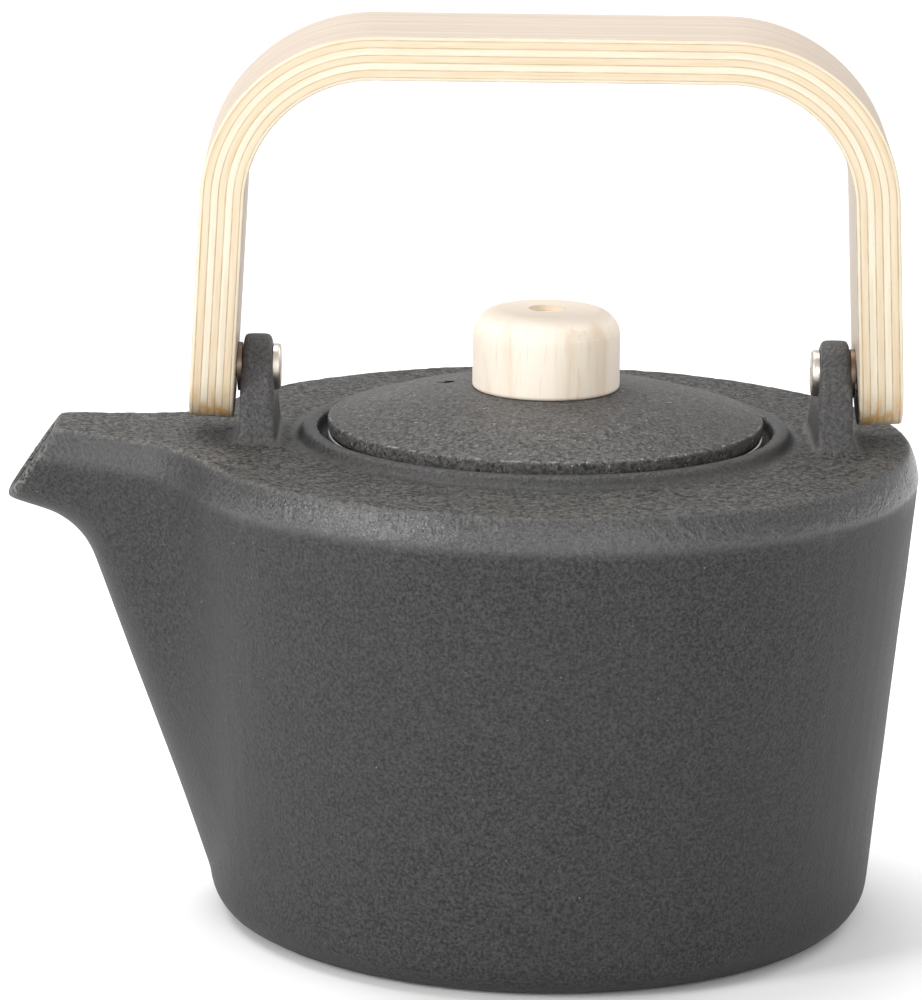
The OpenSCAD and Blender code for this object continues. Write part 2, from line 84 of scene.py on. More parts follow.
# ---- Node helpers ----
class Shader:
    """A Principled material and short calls that add nodes to it."""

    def __init__(self, name):
        self.material = bpy.data.materials.new(name)
        self.material.use_nodes = True
        self.tree = self.material.node_tree
        self.tree.nodes.clear()
        self.surface = self.tree.nodes.new("ShaderNodeBsdfPrincipled")
        out = self.tree.nodes.new("ShaderNodeOutputMaterial")
        self.tree.links.new(self.surface.outputs[0], out.inputs[0])

    def put(self, socket, value):
        if isinstance(value, bpy.types.NodeSocket):
            self.tree.links.new(value, socket)
        elif isinstance(value, (tuple, list)) and len(value) == 3 and socket.type == "RGBA":
            socket.default_value = (*value, 1.0)
        else:
            socket.default_value = value

    def node(self, kind, inputs=(), output=0, **settings):
        made = self.tree.nodes.new("ShaderNode" + kind)
        for key, value in settings.items():
            setattr(made, key, value)
        for key, value in dict(inputs).items():
            self.put(made.inputs[key], value)
        return made.outputs[output]

    def place(self):
        return self.node("TexCoord", output="Object")

    def attribute(self, name, output="Fac"):
        return self.node("Attribute", output=output, attribute_name=name)

    def math(self, operation, a, b=0.0, c=0.0):
        return self.node("Math", {0: a, 1: b, 2: c}, operation=operation)

    def split(self, vector):
        """The X, Y and Z of a vector."""
        made = self.tree.nodes.new("ShaderNodeSeparateXYZ")
        self.put(made.inputs[0], vector)
        return made.outputs

    def length(self, a, b):
        """The length of a line that reaches a one way and b across it."""
        return self.math("SQRT", self.math("ADD", self.math("MULTIPLY", a, a), self.math("MULTIPLY", b, b)))

    def stretch(self, vector, scale):
        return self.node("VectorMath", {0: vector, 1: scale}, operation="MULTIPLY")

    def noise(self, vector, scale, detail=2.0, roughness=0.5, distortion=0.0):
        values = {"Vector": vector, "Scale": scale, "Detail": detail, "Roughness": roughness,
                  "Distortion": distortion}
        return self.node("TexNoise", values, output="Fac")

    def step(self, value, low, high, to_low=0.0, to_high=1.0):
        values = {0: value, 1: low, 2: high, 3: to_low, 4: to_high}
        return self.node("MapRange", values, interpolation_type="SMOOTHSTEP")

    def mix(self, factor, a, b):
        made = self.tree.nodes.new("ShaderNodeMix")
        made.data_type = "RGBA"
        for index, value in ((0, factor), (6, a), (7, b)):
            self.put(made.inputs[index], value)
        return made.outputs[2]

    def bump(self, height_mm):
        return self.node("Bump", {"Strength": 1.0, "Distance": MM, "Height": height_mm})

    def finish(self, **values):
        for key, value in values.items():
            self.put(self.surface.inputs[key.replace("_", " ")], value)
        return self.material


# ---- Materials ----
# Radius and height of the collar's inner edge
COLLAR_EDGE = (47.0 * MM, 101.75 * MM)
WALL_DARK, WALL_LIGHT = (0.0065, 0.0065, 0.0068), (0.0560, 0.0545, 0.0545)
LID_DARK, LID_LIGHT = (0.0150, 0.0148, 0.0150), (0.205, 0.199, 0.196)
CLOUDED = (0.040, 0.037, 0.036)
BAND_IRON = (0.044, 0.043, 0.043)
PEBBLE_DARK, PEBBLE_LIGHT = (0.018, 0.0176, 0.0172), (0.162, 0.156, 0.149)
WORN_IRON = (0.22, 0.213, 0.203)
BARE_IRON_AND_HIGHLIGHT = (0.45, 0.435, 0.42)
PAINTED_GLINT = (0.30, 0.28, 0.25)


def iron_material(name, dark, light, edge, grain=1500.0, glint_level=0.80, relief=0.30):
    """Sand-cast iron: orange peel on the walls, coarse pebbles on the shoulder, a smooth band, painted glints
    as light specks, and wear along edges, most of all on the ring at the edge's radius and height, where the
    broken bright line is partly worn bare iron and partly a painted highlight."""
    s = Shader(name)
    place = s.place()
    shoulder, band, tone_and_painted_light = s.attribute("shoulder"), s.attribute("band"), s.attribute("tone_and_painted_light")
    worn, patch = s.attribute("worn"), s.attribute("patch")
    mottle = s.noise(place, grain, 3.0, 0.75, 0.2)
    peel = s.noise(place, 620.0, 2.0, 0.5, 0.4)
    pebble = s.noise(place, 1050.0, 4.0, 0.75, 0.3)
    drift = s.noise(place, 24.0, 3.0, 0.55)
    height = s.math("MULTIPLY", peel, s.math("MULTIPLY_ADD", patch, 0.34, 0.06))
    height = s.math("MULTIPLY_ADD", mottle, relief, height)
    height = s.math("MULTIPLY_ADD", pebble, s.math("MULTIPLY", shoulder, 1.10), height)
    height = s.math("MULTIPLY", height, s.math("MULTIPLY_ADD", band, -0.35, 1.0))
    dimple = s.noise(place, 420.0, 2.0, 0.6, 0.5)
    height = s.math("MULTIPLY_ADD", dimple, s.math("MULTIPLY", band, 0.42), height)
    # Light and dark follow the same mottle and pebble noise that raises the bump, so crests come out lighter
    # and hollows darker: partly random tone, partly painted shading of the relief
    colour = s.mix(s.step(mottle, 0.30, 0.70), dark, light)
    colour = s.mix(s.step(drift, 0.3, 0.7, 0.0, 0.2), colour, CLOUDED)
    colour = s.mix(s.math("MULTIPLY", band, 0.3), colour, BAND_IRON)
    pebble_tone_and_shade = s.mix(s.step(pebble, 0.38, 0.64), PEBBLE_DARK, PEBBLE_LIGHT)
    colour = s.mix(shoulder, colour, pebble_tone_and_shade)
    # The tone scales the colour; besides the tone of lugs and collar it holds painted shade in the recess and
    # on the lid's rim, and painted light on the spout's top
    colour = s.node("VectorMath", {0: colour, "Scale": tone_and_painted_light}, operation="SCALE")
    colour = s.mix(s.math("MULTIPLY", worn, s.step(mottle, 0.42, 0.62)), colour, WORN_IRON)
    # A broken bright line on the ring at the edge's radius and height: partly bare iron worn at the edge,
    # partly a painted highlight along it
    x, y, z = s.split(place)
    aside = s.math("SUBTRACT", s.length(x, y), edge[0])
    above = s.math("SUBTRACT", z, edge[1])
    away = s.length(aside, above)
    broken_line = s.step(s.noise(place, 520.0, 3.0, 0.7), 0.46, 0.68, 0.0, 0.6)
    rubbed_and_highlight = s.math("MULTIPLY", s.step(away, 0.30 * MM, 0.10 * MM), broken_line)
    colour = s.mix(rubbed_and_highlight, colour, BARE_IRON_AND_HIGHLIGHT)
    # Painted glints: light specks mixed into the colour, with more of them on the shoulder and on worn edges
    glint = s.math("MULTIPLY_ADD", s.math("ADD", shoulder, worn), -0.08, glint_level)
    speck = s.step(s.noise(place, 1.2 * grain, 1.0, 0.4), glint, s.math("ADD", glint, 0.04))
    colour = s.mix(speck, colour, PAINTED_GLINT)
    roughness = s.step(mottle, 0.3, 0.7, 0.42, 0.60)
    roughness = s.math("MULTIPLY_ADD", band, -0.27, roughness)
    gloss = s.math("MULTIPLY_ADD", band, 0.48, 0.23)
    return s.finish(Base_Color=colour, Roughness=roughness, Normal=s.bump(height), Specular_IOR_Level=gloss)


CREAM, CREAM_SHADE = (0.675, 0.612, 0.490), (0.625, 0.545, 0.412)
TAN, TAN_SHADE = (0.635, 0.538, 0.398), (0.58, 0.460, 0.308)
FACE_PALE, FACE_STREAK, FACE_FIBRE = (0.59, 0.505, 0.430), (0.51, 0.425, 0.345), (0.50, 0.375, 0.27)
PORE, GLUE, END_GRAIN_AND_SHADE = (0.60, 0.45, 0.27), (0.36, 0.24, 0.12), (0.56, 0.33, 0.12)


def face_wood(s, strip):
    """Lengthwise veneer grain, from the strip's own coordinates."""
    long = s.stretch(strip, (9.0, 620.0, 100.0))
    fine = s.stretch(strip, (70.0, 2600.0, 100.0))
    streak = s.noise(long, 1.0, 3.0, 0.55, 0.4)
    fibre = s.noise(fine, 1.0, 2.0, 0.6)
    colour = s.mix(s.step(streak, 0.3, 0.72), FACE_PALE, FACE_STREAK)
    colour = s.mix(s.step(fibre, 0.52, 0.75, 0.0, 0.6), colour, FACE_FIBRE)
    return colour, fibre


def ply_material(name, start, end, tint, shade, veneer=False):
    """Birch ply between two depths in the strip: sawn edge with glue lines, and face grain on a veneer."""
    s = Shader(name)
    strip = s.attribute("strip", "Vector")
    along, _, depth = s.split(strip)
    cut = s.attribute("cut")
    grain = s.noise(s.stretch(strip, (60.0, 300.0, 1100.0)), 1.0, 3.0, 0.6)
    pores = s.noise(s.stretch(strip, (1500.0, 300.0, 2600.0)), 1.0, 2.0, 0.6)
    colour = s.mix(s.step(grain, 0.35, 0.7), tint, shade)
    colour = s.mix(s.step(pores, 0.58, 0.78, 0.0, 0.35), colour, PORE)
    wobble = s.noise(s.stretch(strip, (170.0, 170.0, 0.0)), 1.0, 2.0, 0.6)
    swing = s.math("MULTIPLY_ADD", wobble, 0.08 * MM, -0.04 * MM)
    bent = s.math("ADD", depth, swing)
    near = s.math("MINIMUM", s.math("SUBTRACT", bent, start), s.math("SUBTRACT", end, bent))
    patches = s.noise(s.stretch(strip, (240.0, 240.0, 900.0)), 1.0, 2.0, 0.5)
    strength = s.step(patches, 0.25, 0.7, 0.45, 1.0)
    leg = s.step(along, 60.0 * MM, 25.0 * MM, 0.58, 0.82)
    glue = s.math("MULTIPLY", s.math("MULTIPLY", s.step(near, 0.20 * MM, 0.05 * MM), strength), leg)
    colour = s.mix(glue, colour, GLUE)
    if veneer:
        face, fibre = face_wood(s, strip)
        colour = s.mix(s.step(cut, 0.35, 0.65), face, colour)
    blotch = s.step(s.noise(s.stretch(strip, (130.0, 200.0, 420.0)), 1.0, 3.0, 0.6), 0.35, 0.62)
    # Darker amber toward the bottom of each leg's round end on the cut edges: partly end grain, partly
    # painted shade where the end turns under
    tip = s.step(along, 0.0, -7.5 * MM, 0.0, 0.95)
    end_grain_and_shade = s.math("MULTIPLY", tip, s.math("MULTIPLY", cut, blotch))
    colour = s.mix(end_grain_and_shade, colour, END_GRAIN_AND_SHADE)
    height = s.math("MULTIPLY", pores, 0.03)
    return s.finish(Base_Color=colour, Roughness=0.5, Normal=s.bump(height), Specular_IOR_Level=0.35)


def knob_material(name, top, side, streak_colour, rise):
    """Turned wood whose flat top, at the given height, has a colour of its own."""
    s = Shader(name)
    place = s.place()
    _, _, z = s.split(place)
    broad = s.noise(s.stretch(place, (170.0, 170.0, 18.0)), 1.0, 3.0, 0.55, 0.3)
    fibre = s.noise(s.stretch(place, (1500.0, 1500.0, 90.0)), 1.0, 2.0, 0.6)
    pores = s.noise(s.stretch(place, (2600.0, 2600.0, 400.0)), 1.0, 1.0, 0.5)
    side_colour = s.mix(s.step(broad, 0.45, 0.75, 0.0, 0.6), side, streak_colour)
    side_colour = s.mix(s.step(fibre, 0.55, 0.75, 0.0, 0.55), side_colour, streak_colour)
    top_colour = s.mix(s.step(pores, 0.5, 0.72, 0.0, 0.5), top, streak_colour)
    colour = s.mix(s.step(z, rise - 2.2 * MM, rise - 0.1 * MM), side_colour, top_colour)
    height = s.math("MULTIPLY", fibre, 0.03)
    return s.finish(Base_Color=colour, Roughness=0.55, Normal=s.bump(height), Specular_IOR_Level=0.35)


EVEN, COARSE, TURNED = (300.0, 300.0, 300.0), (900.0, 900.0, 900.0), (60.0, 60.0, 2600.0)


def metal_material(name, colour, dull, roughness, scale):
    """Metal with dull clouds, and scratches at a scale for each of X, Y and Z."""
    s = Shader(name)
    place = s.place()
    cloud = s.noise(place, 160.0, 3.0, 0.6)
    scratch = s.noise(s.stretch(place, scale), 1.0, 2.0, 0.6)
    tint = s.mix(s.step(cloud, 0.4, 0.75), colour, dull)
    rough = s.step(scratch, 0.3, 0.7, roughness - 0.07, roughness + 0.10)
    return s.finish(Base_Color=tint, Metallic=1.0, Roughness=rough,
                    Normal=s.bump(s.math("MULTIPLY", scratch, 0.004)))


# ---- Mesh helpers ----
def add_object(name, mesh):
    made = bpy.data.objects.new(name, mesh)
    bpy.context.scene.collection.objects.link(made)
    return made


def evaluated_mesh(source_mesh, modifiers):
    """The mesh that a chain of modifiers makes from another, as a mesh of its own."""
    temp = add_object("temp", source_mesh)
    for kind, settings in modifiers:
        modifier = temp.modifiers.new(kind.lower(), kind)
        for key, value in settings.items():
            setattr(modifier, key, value)
    graph = bpy.context.evaluated_depsgraph_get()
    made = bpy.data.meshes.new_from_object(temp.evaluated_get(graph))
    bpy.data.objects.remove(temp)
    return made


def get_points(mesh):
    points = np.empty(len(mesh.vertices) * 3, np.float32)
    mesh.vertices.foreach_get("co", points)
    return points.reshape(-1, 3).astype(np.float64)


def set_points(mesh, points):
    mesh.vertices.foreach_set("co", points.astype(np.float32).ravel())
    mesh.update()


def get_normals(mesh):
    normals = np.empty(len(mesh.vertices) * 3, np.float32)
    mesh.vertex_normals.foreach_get("vector", normals)
    return normals.reshape(-1, 3).astype(np.float64)


def set_attribute(mesh, name, values, kind="FLOAT"):
    attribute = mesh.attributes.new(name, kind, "POINT")
    attribute.data.foreach_set("value" if kind == "FLOAT" else "vector", values.astype(np.float32).ravel())


def smoothstep(value, low, high):
    t = np.clip((value - low) / (high - low), 0.0, 1.0)
    return t * t * (3.0 - 2.0 * t)


NOISE_CELLS = 32
NOISE_SHIFT = 1000.0


def value_noise(points, size, seed):
    """Smooth noise between -1 and 1 with cells of the given size."""
    cells = NOISE_CELLS
    lattice = np.random.default_rng(seed).uniform(-1.0, 1.0, (cells, cells, cells))
    scaled = points / size + NOISE_SHIFT
    base = np.floor(scaled).astype(int)
    t = scaled - base
    t = t * t * (3.0 - 2.0 * t)
    total = np.zeros(len(points))
    for dx in (0, 1):
        for dy in (0, 1):
            for dz in (0, 1):
                weight = (np.where(dx, t[:, 0], 1 - t[:, 0]) * np.where(dy, t[:, 1], 1 - t[:, 1])
                          * np.where(dz, t[:, 2], 1 - t[:, 2]))
                corner = (base + (dx, dy, dz)) % cells
                total += weight * lattice[corner[:, 0], corner[:, 1], corner[:, 2]]
    return total


class Neighbours:
    """Averages over the neighbours of each vertex."""

    def __init__(self, mesh):
        edges = np.empty(len(mesh.edges) * 2, np.int32)
        mesh.edges.foreach_get("vertices", edges)
        edges = edges.reshape(-1, 2)
        self.count = len(mesh.vertices)
        self.source = np.concatenate([edges[:, 0], edges[:, 1]])
        self.target = np.concatenate([edges[:, 1], edges[:, 0]])
        self.degree = np.maximum(np.bincount(self.source, minlength=self.count), 1)

    def mean(self, values):
        if values.ndim == 1:
            return np.bincount(self.source, values[self.target], self.count) / self.degree
        return np.stack([self.mean(values[:, k]) for k in range(values.shape[1])], 1)


def cut_away(mesh, cutter):
    """The mesh with the cutter's shape taken out of it."""
    settings = {"object": cutter, "operation": "DIFFERENCE", "solver": "EXACT"}
    return evaluated_mesh(mesh, [("BOOLEAN", settings)])


CUTTER_SIDES = 40


def cylinder_cutter(places, radius, depth):
    """An object to cut with: a cylinder at each place."""
    mesh = bmesh.new()
    for place in places:
        bmesh.ops.create_cone(mesh, cap_ends=True, segments=CUTTER_SIDES, radius1=radius, radius2=radius,
                              depth=depth, matrix=place)
    data = bpy.data.meshes.new("cutter")
    mesh.to_mesh(data)
    mesh.free()
    return add_object("cutter", data)


# ---- Iron castings: the CAD shape with soft edges, fillets and the unevenness of a sand mould ----
def recast(name, voxel, faces, soften, shape, cutter=None):
    """A CAD node remeshed, softened, reshaped by a function, thinned to a number of faces and cut."""
    source = nodes[name].data.copy()
    dense = evaluated_mesh(source, [("REMESH", {"mode": "VOXEL", "voxel_size": voxel})])
    around = Neighbours(dense)
    points = get_points(dense)
    for _ in range(soften):
        points += 0.5 * (around.mean(points) - points)
    set_points(dense, points)
    attributes = shape(dense, points, around)
    for key, values in attributes.items():
        set_attribute(dense, key, values)
    count = sum(len(p.vertices) - 2 for p in dense.polygons)
    made = evaluated_mesh(dense, [("DECIMATE", {"ratio": min(1.0, faces / count)})])
    if cutter:
        made = cut_away(made, cutter)
    made.polygons.foreach_set("use_smooth", [True] * len(made.polygons))
    made.name = name + "_casting"
    return add_object(name + "_casting", made)


def bend(mesh, points, around):
    """How far each vertex stands out from its neighbours, in mm with convex positive, and the normals."""
    normals = get_normals(mesh)
    return -((around.mean(points) - points) * normals).sum(1) / MM, normals


VENT_PLACE, VENT_RADIUS, VENT_CUT = (-20.2 * MM, 8.0 * MM), 1.5 * MM, 30 * MM
COLLAR_INSIDE, COLLAR_OUTSIDE = 46.9 * MM, 52 * MM
SHOULDER_INSIDE = 53 * MM
TOP_START = 97 * MM
LUG_X, LUG_REACH, LUG_SIDE, LUG_START = 59 * MM, 6.5 * MM, 17 * MM, 100.2 * MM
SHOULDER_Z = 99.5 * MM
BAND_DROP = 6.2 * MM
SPOUT_RISE = math.tan(math.radians(4.2))
SPOUT_START = -67.3 * MM


def pot_shape(mesh, points, around):
    x, y, z = points.T
    radius = np.hypot(x, y)
    top = SHOULDER_Z + SPOUT_RISE * np.maximum(SPOUT_START - x, 0.0)
    # Fillet where the spout runs into the side
    kink, _ = bend(mesh, points, around)
    valley = (kink < -0.025) & (radius > 62 * MM) & (x < -20 * MM) & (z > 8 * MM) & (z < top - 3 * MM)
    mask = valley.astype(float)
    for _ in range(9):
        mask = np.maximum(mask, around.mean(mask) * 1.25)
        mask = np.minimum(mask, 1.0)
    mask *= (radius > 60 * MM)
    for _ in range(3):
        mask = around.mean(mask)
    for _ in range(45):
        points += (0.5 * mask)[:, None] * (around.mean(points) - points)
    # Unevenness of the mould, and the parting ridge below the band
    set_points(mesh, points)
    x, y, z = points.T
    radius = np.hypot(x, y)
    kink, normals = bend(mesh, points, around)
    clear_of_lugs = (np.abs(y) > 16 * MM) | (z < 99 * MM) | (x < -66 * MM)
    outside = (radius > COLLAR_OUTSIDE) & (z > 1.5 * MM) & clear_of_lugs
    sway = value_noise(points, 26 * MM, 3) * 0.16 + value_noise(points, 9 * MM, 5) * 0.07
    flat = smoothstep(normals[:, 2], 0.72, 0.93) * (radius > SHOULDER_INSIDE) * (z > TOP_START)
    sway += flat * (value_noise(points, 2.1 * MM, 17) * 0.09 + value_noise(points, 1.2 * MM, 19) * 0.05)
    seam_z = top - BAND_DROP - (0.5 + 0.7 * value_noise(points, 18 * MM, 7)) * MM
    side = (radius > 66 * MM) & (np.abs(normals[:, 2]) < 0.6)
    ridge_height = 0.10 + 0.14 * value_noise(points, 12 * MM, 11)
    ridge = np.exp(-((z - seam_z) / (0.75 * MM)) ** 2) * side * ridge_height
    points += normals * ((sway * outside + ridge) * MM)[:, None]
    set_points(mesh, points)
    # Where each finish lies: lugs, shoulder, band under it, collar, worn edges, and the tone of each, which
    # also holds painted shade in the recess and painted light on the spout's flat top
    up = normals[:, 2]
    lug = (np.abs(np.abs(x) - LUG_X) < LUG_REACH) & (np.abs(y) < LUG_SIDE) & (z > LUG_START)
    past_collar = smoothstep(radius, 51.5 * MM, SHOULDER_INSIDE)
    shoulder = smoothstep(up, 0.72, 0.93) * past_collar * (z > TOP_START) * ~lug
    low = smoothstep(z, top - BAND_DROP - 1.4 * MM, top - BAND_DROP - 0.2 * MM)
    band = low * (1 - shoulder) * (radius > 50 * MM)
    collar = (radius < COLLAR_OUTSIDE) & (z > 99 * MM)
    band = np.select([lug, collar], [0.35, 0.40], band)
    worn = smoothstep(around.mean(kink), 0.018, 0.075) * ~lug * (0.35 + 0.65 * (radius > 75 * MM))
    # Painted shade: the ledge inside the collar has its colour scaled down to 0.28 for the shade of the
    # recess
    recess = (radius < COLLAR_INSIDE) & (z > TOP_START) & (z < 101.6 * MM)
    # Painted light: the spout's flat top has its colour scaled up by 1.25 for the light falling on it
    lit_spout_top = (x < -64 * MM) & (shoulder > 0.5)
    tone_and_painted_light = np.select([lug, recess, lit_spout_top, collar], [1.78, 0.28, 1.25, 1.08], 1.0)
    band = band * (1 - 0.45 * smoothstep(-x, 58 * MM, 70 * MM))
    front = np.exp(-(((x - 3 * MM) / (26 * MM)) ** 2 + ((z - 80 * MM) / (20 * MM)) ** 2)) * (y < 0)
    patch = np.clip(front + 0.35 * (value_noise(points, 30 * MM, 13) > 0.1), 0, 1)
    for _ in range(2):
        shoulder, band, patch, tone_and_painted_light = (around.mean(v) for v in (shoulder, band.astype(float), patch, tone_and_painted_light))
    return {"shoulder": shoulder, "band": band, "worn": worn, "patch": patch, "tone_and_painted_light": tone_and_painted_light}


def lid_shape(mesh, points, around):
    kink, normals = bend(mesh, points, around)
    x, y, z = points.T
    radius = np.hypot(x, y)
    outside = (radius > 18 * MM) & (z > lid_low.z + 5 * MM)
    sway = value_noise(points, 20 * MM, 21) * 0.08 + value_noise(points, 7 * MM, 23) * 0.04
    points += normals * (sway * outside * MM)[:, None]
    set_points(mesh, points)
    worn = 0.25 * smoothstep(around.mean(kink), 0.04, 0.10)
    zero = np.zeros(len(points))
    # Painted shade: the lid's outer rim, which sits down inside the collar, has its colour scaled down to
    # 0.75
    rim = (radius > 43.9 * MM) & (normals[:, 2] < 0.5) & (z < lid_low.z + 3.4 * MM)
    return {"shoulder": zero + 0.22, "band": zero, "worn": worn, "patch": zero, "tone_and_painted_light": 1.0 - 0.25 * rim}


def add_castings():
    pot = recast("pot_body", voxel=0.7 * MM, faces=190_000, soften=4, shape=pot_shape)
    pot.data.materials.clear()
    pot.data.materials.append(iron_material("cast_iron", WALL_DARK, WALL_LIGHT, COLLAR_EDGE))
    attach(pot, "pot")
    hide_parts("pot_body")
    vent = cylinder_cutter([Matrix.Translation((*VENT_PLACE, lid_low.z))], VENT_RADIUS, VENT_CUT)
    lid = recast("lid", voxel=0.5 * MM, faces=120_000, soften=3, shape=lid_shape, cutter=vent)
    bpy.data.objects.remove(vent)
    lid.data.materials.clear()
    lid_edge = (lid_high.x - 0.45 * MM, lid_low.z + 3.2 * MM)
    iron = iron_material("lid_iron", LID_DARK, LID_LIGHT, lid_edge, grain=1150.0, glint_level=0.715, relief=0.45)
    lid.data.materials.append(iron)
    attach(lid, "lid")
    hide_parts("lid")


add_castings()

# ---- Plywood handle: seven layers lofted along one bent strip ----
HANDLE_LEAN = math.radians(5.6)
LEG_SPLAY = math.radians(3.2)
HALF_WIDTH = 11.5 * MM
LEG_INNER = 63.4 * MM
BAR_HEIGHT = 62.9 * MM
CORNER_RADIUS = 26.0 * MM
LEG_END = 10.6 * MM
CORE_PLY, FACE_PLY, CORE_PLIES = 1.5 * MM, 0.75 * MM, 5
COLUMNS = 17
END_ROWS, LEG_ROWS, CORNER_ROWS, BAR_ROWS = 14, 22, 32, 18
ROUND_ANGLES = [math.radians(a) for a in (0, 22.5, 45, 67.5, 90)]
CORNER_Z = BAR_HEIGHT - CORNER_RADIUS
CORNER_X = LEG_INNER - (CORNER_RADIUS + CORNER_Z * math.sin(LEG_SPLAY)) / math.cos(LEG_SPLAY)
LEG_LENGTH = math.hypot(LEG_INNER - CORNER_X - CORNER_RADIUS * math.cos(LEG_SPLAY),
                        CORNER_Z + CORNER_RADIUS * math.sin(LEG_SPLAY))
CORNER_LENGTH = CORNER_RADIUS * (math.pi / 2 - LEG_SPLAY)
HALF_LENGTH = LEG_LENGTH + CORNER_LENGTH + CORNER_X
lean = Matrix.Translation(hinge) @ Matrix.Rotation(HANDLE_LEAN, 4, "X")


def strip_point(along, across, depth):
    """Where a point of the strip lies in the upright handle. It runs from the right pivot to the left."""
    half = min(along, 2 * HALF_LENGTH - along)
    sign = 1.0 if along <= HALF_LENGTH else -1.0
    if half < LEG_LENGTH:
        x = LEG_INNER - half * math.sin(LEG_SPLAY) + depth * math.cos(LEG_SPLAY)
        z = half * math.cos(LEG_SPLAY) + depth * math.sin(LEG_SPLAY)
    elif half < LEG_LENGTH + CORNER_LENGTH:
        angle = LEG_SPLAY + (half - LEG_LENGTH) / CORNER_RADIUS
        x = CORNER_X + (CORNER_RADIUS + depth) * math.cos(angle)
        z = CORNER_Z + (CORNER_RADIUS + depth) * math.sin(angle)
    else:
        x = CORNER_X - (half - LEG_LENGTH - CORNER_LENGTH)
        z = BAR_HEIGHT + depth
    return Vector((sign * x, across, z))


def strip_rows(inset):
    """(along, half width) of each row of the strip's outline, drawn in by an inset, from end to end."""
    size, lift = HALF_WIDTH - inset, HALF_WIDTH - LEG_END
    angles = np.linspace(0.06, math.pi / 2, END_ROWS)
    first = [(lift - size * math.cos(a), size * math.sin(a)) for a in angles]
    ahead = list(np.linspace(lift, LEG_LENGTH, LEG_ROWS)[1:])
    ahead += list(LEG_LENGTH + np.linspace(0.0, CORNER_LENGTH, CORNER_ROWS)[1:])
    ahead += list(LEG_LENGTH + CORNER_LENGTH + np.linspace(0.0, CORNER_X, BAR_ROWS)[1:])
    middle = ahead + [2 * HALF_LENGTH - along for along in reversed(ahead[:-1])]
    last = [(2 * HALF_LENGTH - along, half) for along, half in reversed(first)]
    return first + [(along, size) for along in middle] + last


def rounded_layers(start, end, low_round, high_round):
    """(depth, inset) of each outline of a layer whose two edges are rounded."""
    low = [(start + low_round * (1 - math.sin(a)), low_round * (1 - math.cos(a))) for a in ROUND_ANGLES]
    high = [(end - high_round * (1 - math.sin(a)), high_round * (1 - math.cos(a))) for a in ROUND_ANGLES]
    return low[::-1] + high


def add_layer(name, node, start, end, low_round, high_round, material, cutter=None):
    """One ply or veneer of the strip, between two depths, as a closed mesh that replaces its CAD node."""
    columns = np.linspace(-1.0, 1.0, COLUMNS)
    layers = rounded_layers(start, end, low_round, high_round)
    mesh = bmesh.new()
    strip_layer = mesh.verts.layers.float_vector.new("strip")
    cut_layer = mesh.verts.layers.float.new("cut")

    def vertex(along, across, depth, cut):
        made = mesh.verts.new(strip_point(along, across, depth))
        made[strip_layer] = (min(along, 2 * HALF_LENGTH - along), across, depth)
        made[cut_layer] = cut
        return made

    def grid(depth, inset, cut):
        return [[vertex(along, half * c, depth, cut) for c in columns] for along, half in strip_rows(inset)]

    def ring_of(rows):
        left = [row[0] for row in rows]
        right = [row[-1] for row in rows]
        return left + rows[-1][1:] + right[-2::-1] + rows[0][-2:0:-1]

    low = grid(layers[0][0], layers[0][1], 0.0)
    high = grid(layers[-1][0], layers[-1][1], 0.0)
    for rows, flip in ((low, True), (high, False)):
        for a, b in zip(rows, rows[1:]):
            for k in range(len(columns) - 1):
                face = [a[k], a[k + 1], b[k + 1], b[k]]
                mesh.faces.new(face[::-1] if flip else face)
    rings = [ring_of(low)]
    for depth, inset in layers[1:-1]:
        rows = strip_rows(inset)
        outline = [(along, -half) for along, half in rows]
        last, first = rows[-1], rows[0]
        outline += [(last[0], last[1] * c) for c in columns[1:]]
        outline += [(along, half) for along, half in rows[-2::-1]]
        outline += [(first[0], first[1] * c) for c in columns[-2:0:-1]]
        rings.append([vertex(along, across, depth, 1.0) for along, across in outline])
    rings.append(ring_of(high))
    for a, b in zip(rings, rings[1:]):
        for k in range(len(a)):
            j = (k + 1) % len(a)
            mesh.faces.new([a[j], a[k], b[k], b[j]])
    bmesh.ops.transform(mesh, matrix=lean, verts=mesh.verts)
    bmesh.ops.recalc_face_normals(mesh, faces=mesh.faces)
    data = bpy.data.meshes.new(name)
    mesh.to_mesh(data)
    mesh.free()
    if cutter:
        data = cut_away(data, cutter)
        data.name = name
    data.polygons.foreach_set("use_smooth", [True] * len(data.polygons))
    data.materials.clear()
    data.materials.append(material)
    piece = add_object(name, data)
    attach(piece, "handle")
    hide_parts(node)


INSERT_HOLE = 3.52 * MM
INSERT_DEPTH = 6.42 * MM


def hole_cutter():
    """One cylinder along the pivots' axis inside each leg, as an object to cut with."""
    overrun = MM
    middle = LEG_INNER + INSERT_DEPTH / 2 - overrun
    turn = Matrix.Rotation(math.pi / 2, 4, "Y")
    places = [lean @ Matrix.Translation((sign * middle, 0, 0)) @ turn for sign in (-1, 1)]
    return cylinder_cutter(places, INSERT_HOLE, INSERT_DEPTH + 2 * overrun)


